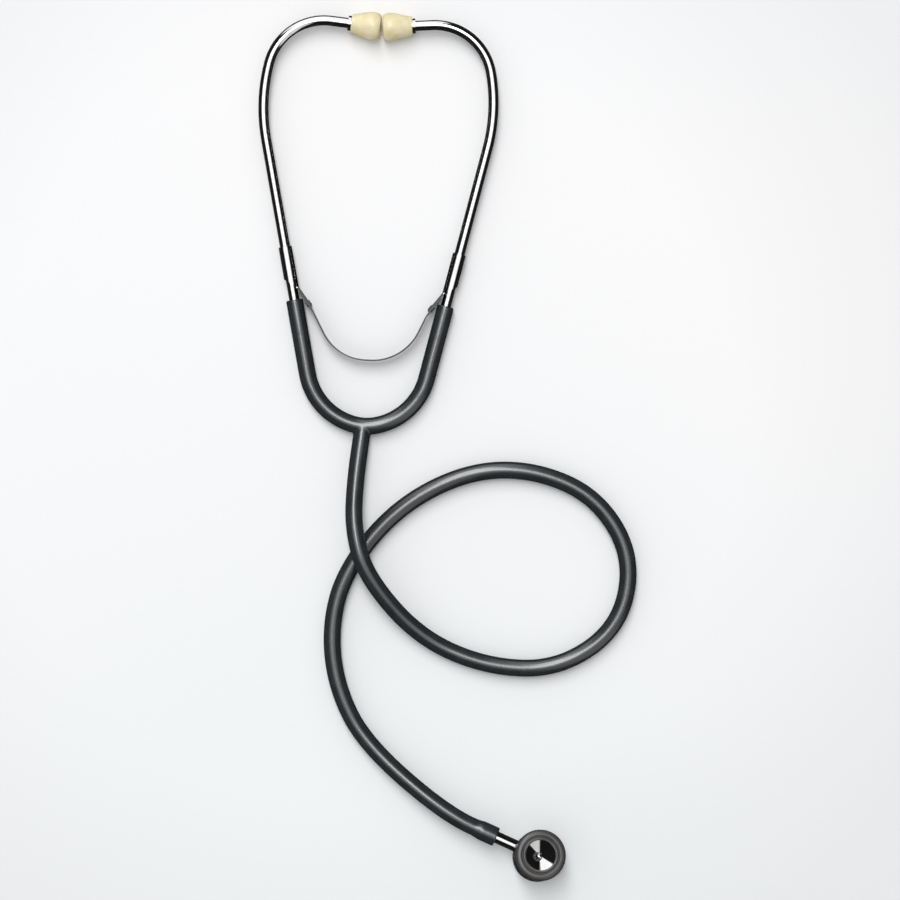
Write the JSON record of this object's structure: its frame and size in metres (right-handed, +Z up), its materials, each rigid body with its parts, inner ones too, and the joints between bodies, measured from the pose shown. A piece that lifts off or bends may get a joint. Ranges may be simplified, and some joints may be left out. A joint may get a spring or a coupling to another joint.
{
  "type": "stethoscope",
  "caption": "Single-tube stethoscope lying flat, with chromed ear tubes, leaf spring, looped rubber tubing and a bell-and-diaphragm chest piece that turns on its stem.",
  "frame": {"origin": "on the table that the stethoscope lies on, under the middle of the tubing's fork", "axes": "+Y from the fork to the ear tips, +X to the wearer-side right as seen from above, +Z up from the table"},
  "size_m": [0.2103, 0.4549, 0.023],
  "materials": {
    "tubing_rubber": "matt dark grey rubber",
    "ring_rubber": "matt grey-brown rubber",
    "seal_rubber": "matt",
    "chrome": "polished plate",
    "ivory_plastic": "glossy, yellowed",
    "diaphragm_plastic": "satin stiff sheet",
    "steel": "bright steel",
    "spring_steel": "dull tempered strip"
  },
  "bodies": {
    "tubing": {"yoke_tubing": "tubing_rubber", "main_tube": "tubing_rubber", "stem_cuff": "tubing_rubber", "chest_stem": "chrome", "stem_o_ring": "seal_rubber", "leaf_spring": "spring_steel"},
    "left_clip": {"left_spring_clip": "chrome", "left_clip_rivet": "chrome"},
    "left_ear": {"left_ear_tube": "chrome", "left_tip_nipple": "chrome"},
    "left_tip": {"left_ear_tip": "ivory_plastic"},
    "right_clip": {"right_spring_clip": "chrome", "right_clip_rivet": "chrome"},
    "right_ear": {"right_ear_tube": "chrome", "right_tip_nipple": "chrome"},
    "right_tip": {"right_ear_tip": "ivory_plastic"},
    "head": {"chest_body": "chrome", "bell_ring": "ring_rubber", "diaphragm": "diaphragm_plastic", "diaphragm_rim": "chrome", "detent_ball": "steel", "detent_spring": "steel", "detent_screw": "steel"}
  },
  "joints": [
    {"name": "left_ear_spread", "type": "hinge", "parent": "tubing", "child": "left_clip", "pos_m": [-0.019, 0.043, 0.00509], "axis": [0, -0.0138, 0.9999], "range_deg": [0, 26], "stiffness_Nm_per_rad": 0.8, "deforming": ["yoke_tubing", "leaf_spring"]},
    {"name": "left_ear_swivel", "type": "hinge", "parent": "left_clip", "child": "left_ear", "pos_m": [-0.04, 0.06599, 0.00541], "axis": [-0.2147, 0.9766, 0.0135], "range_deg": [-15, 15]},
    {"name": "left_tip_turn", "type": "hinge", "parent": "left_ear", "child": "left_tip", "pos_m": [-0.00059, 0.21149, 0.00742], "axis": [-0.9962, 0.0871, 0.0012], "continuous": true},
    {"name": "right_ear_spread", "type": "hinge", "parent": "tubing", "child": "right_clip", "pos_m": [0.019, 0.043, 0.00509], "axis": [0, 0.0138, -0.9999], "range_deg": [0, 26], "stiffness_Nm_per_rad": 0.8, "deforming": ["yoke_tubing", "leaf_spring"]},
    {"name": "right_ear_swivel", "type": "hinge", "parent": "right_clip", "child": "right_ear", "pos_m": [0.04, 0.06599, 0.00541], "axis": [0.2147, 0.9766, 0.0135], "range_deg": [-15, 15]},
    {"name": "right_tip_turn", "type": "hinge", "parent": "right_ear", "child": "right_tip", "pos_m": [0.00059, 0.21149, 0.00742], "axis": [0.9962, 0.0871, 0.0012], "continuous": true},
    {"name": "chest_turn", "type": "hinge", "parent": "tubing", "child": "head", "pos_m": [0.1012, -0.2216, 0.00949], "axis": [-0.9272, 0.3746, 0], "continuous": true}
  ]
}
